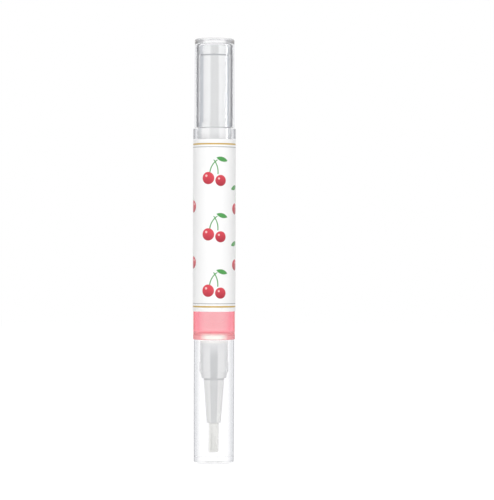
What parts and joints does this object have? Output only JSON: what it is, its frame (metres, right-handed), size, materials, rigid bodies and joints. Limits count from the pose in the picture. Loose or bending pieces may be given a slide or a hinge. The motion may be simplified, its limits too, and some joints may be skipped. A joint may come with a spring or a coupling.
{
  "type": "nail oil pen",
  "caption": "Slim twist-up nail oil pen: clear push-on cap over a soft brush tip, labelled clear barrel of pink oil, and a clear twist knob that drives a screw piston.",
  "frame": {"origin": "centre of the cap's flat end, which the pen stands on", "axes": "+Z along the pen's axis from the cap end to the knob end, -Y towards the front of the label, label seam at +Y"},
  "size_m": [0.014, 0.014, 0.1395],
  "materials": {
    "clear_plastic": "clear, polished",
    "frosted_plastic": "translucent, natural",
    "nylon": "satin filament",
    "white_plastic": "satin",
    "silicone": "satin",
    "label_film": "gloss film",
    "oil": "clear liquid"
  },
  "bodies": {
    "barrel": {"barrel": "clear_plastic", "label": "label_film", "oil_fill": "oil", "tip_collar": "frosted_plastic", "brush_nozzle": "frosted_plastic", "bristles": "nylon", "bristle_anchor": "nylon", "feed_tube": "white_plastic", "tip_gasket": "silicone", "thread_nut": "white_plastic", "ratchet_sleeve": "white_plastic"},
    "cap": {"cap": "clear_plastic"},
    "knob": {"twist_knob": "clear_plastic", "drive_core": "frosted_plastic", "core_plug": "frosted_plastic"},
    "piston": {"piston": "white_plastic"},
    "rod": {"screw_rod": "white_plastic"}
  },
  "joints": [
    {"name": "cap_pull", "type": "slide", "parent": "cap", "child": "barrel", "axis": [0, 0, 1], "range_m": [0, 0.04]},
    {"name": "knob_twist", "type": "hinge", "parent": "barrel", "child": "knob", "pos_m": [0, 0, 0.11], "axis": [0, 0, -1], "range_deg": [0, 4615]},
    {"name": "piston_slide", "type": "slide", "parent": "barrel", "child": "piston", "axis": [0, 0, -1], "range_m": [0, 0.03845], "deforming": ["oil_fill"]},
    {"name": "rod_spin", "type": "hinge", "parent": "piston", "child": "rod", "pos_m": [0, 0, 0.09], "axis": [0, 0, -1], "range_deg": [0, 4615]}
  ],
  "couplings": [
    {"joint": "knob_twist", "follows": "piston_slide", "rad_per_m": 2094.4},
    {"joint": "rod_spin", "follows": "piston_slide", "rad_per_m": 2094.4}
  ]
}
